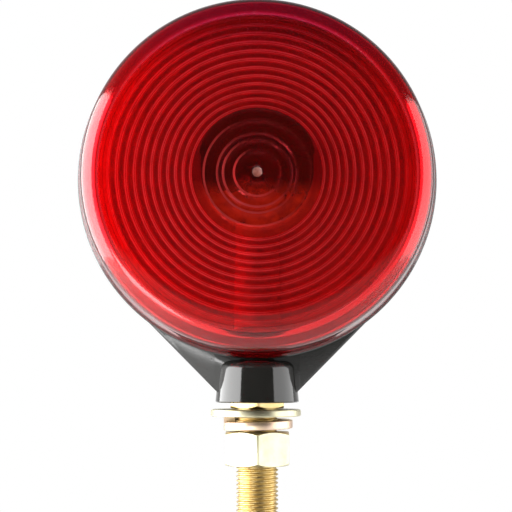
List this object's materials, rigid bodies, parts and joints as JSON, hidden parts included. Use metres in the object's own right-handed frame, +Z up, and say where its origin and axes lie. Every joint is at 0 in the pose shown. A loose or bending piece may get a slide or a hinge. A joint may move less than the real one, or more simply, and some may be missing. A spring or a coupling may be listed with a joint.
{
  "type": "pedestal signal lamp",
  "caption": "Round pedestal signal lamp: a fluted red lens on a black dished housing with a web and boss, on a hollow threaded stud with washers and a nut.",
  "frame": {"origin": "where the stud's axis meets the flat underside of the housing's boss, which is the lamp's seat", "axes": "+Z up along the stud towards the lamp; -Y is the way the lens looks; +X to the right of a viewer who faces the lens"},
  "size_m": [0.108, 0.048, 0.1667],
  "materials": {
    "housing": "moulded black, glossy boss and finely grained web",
    "lens": "transparent red, fluted inside",
    "gasket": "foam",
    "reflector": "white",
    "plated_steel": "clear zinc",
    "phenolic": "phenolic board",
    "brass": "plain",
    "glass": "clear",
    "solder": "solder",
    "vitrite": "black glass",
    "tungsten": "wire",
    "yellow_zinc": "yellow zinc plate with a faint pink and green sheen",
    "rubber": "moulded"
  },
  "bodies": {
    "lamp_body": {"housing": "housing", "lens_gasket": "gasket", "reflector": "reflector", "socket_shell": "plated_steel", "socket_bracket": "plated_steel", "bracket_screw_left": "plated_steel", "bracket_screw_right": "plated_steel", "socket_end_cap": "phenolic", "socket_spring": "plated_steel", "stud": "yellow_zinc", "ground_strap": "brass", "stud_grommet": "rubber"},
    "lens_cap": {"lens": "lens"},
    "contact_carrier": {"contact_plate": "phenolic", "contact_pad_left": "brass", "contact_pad_right": "brass"},
    "bulb": {"bulb_base": "brass", "bayonet_pin_low": "brass", "bayonet_pin_high": "brass", "base_insulator": "vitrite", "base_contact_left": "solder", "base_contact_right": "solder", "bulb_glass": "glass", "glass_stem": "glass", "wire_left": "plated_steel", "wire_right": "plated_steel", "wire_common": "plated_steel", "wire_tail": "plated_steel", "filament_bright": "tungsten", "filament_tail": "tungsten"},
    "washers": {"flat_washer": "yellow_zinc", "lock_washer": "yellow_zinc"},
    "nut": {"hex_nut": "yellow_zinc"}
  },
  "joints": [
    {"name": "lens_pull", "type": "slide", "parent": "lamp_body", "child": "lens_cap", "axis": [0, -1, 0], "range_m": [0, 0.03]},
    {"name": "bulb_press", "type": "slide", "parent": "lamp_body", "child": "contact_carrier", "axis": [0, 0, -1], "range_m": [0, 0.002], "stiffness_N_per_m": 1500, "springref_m": -0.004, "deforming": ["socket_spring"]},
    {"name": "bulb_turn", "type": "hinge", "parent": "contact_carrier", "child": "bulb", "pos_m": [0, 0, 0.0375], "axis": [0, 0, 1], "range_deg": [0, 25]},
    {"name": "nut_travel", "type": "slide", "parent": "lamp_body", "child": "washers", "axis": [0, 0, -1], "range_m": [0, 0.02489]},
    {"name": "nut_spin", "type": "hinge", "parent": "washers", "child": "nut", "pos_m": [0, 0, -0.014], "axis": [0, 0, -1], "range_deg": [0, 7055.4]}
  ],
  "couplings": [
    {"joint": "nut_spin", "follows": "nut_travel", "rad_per_m": 4947.4}
  ]
}
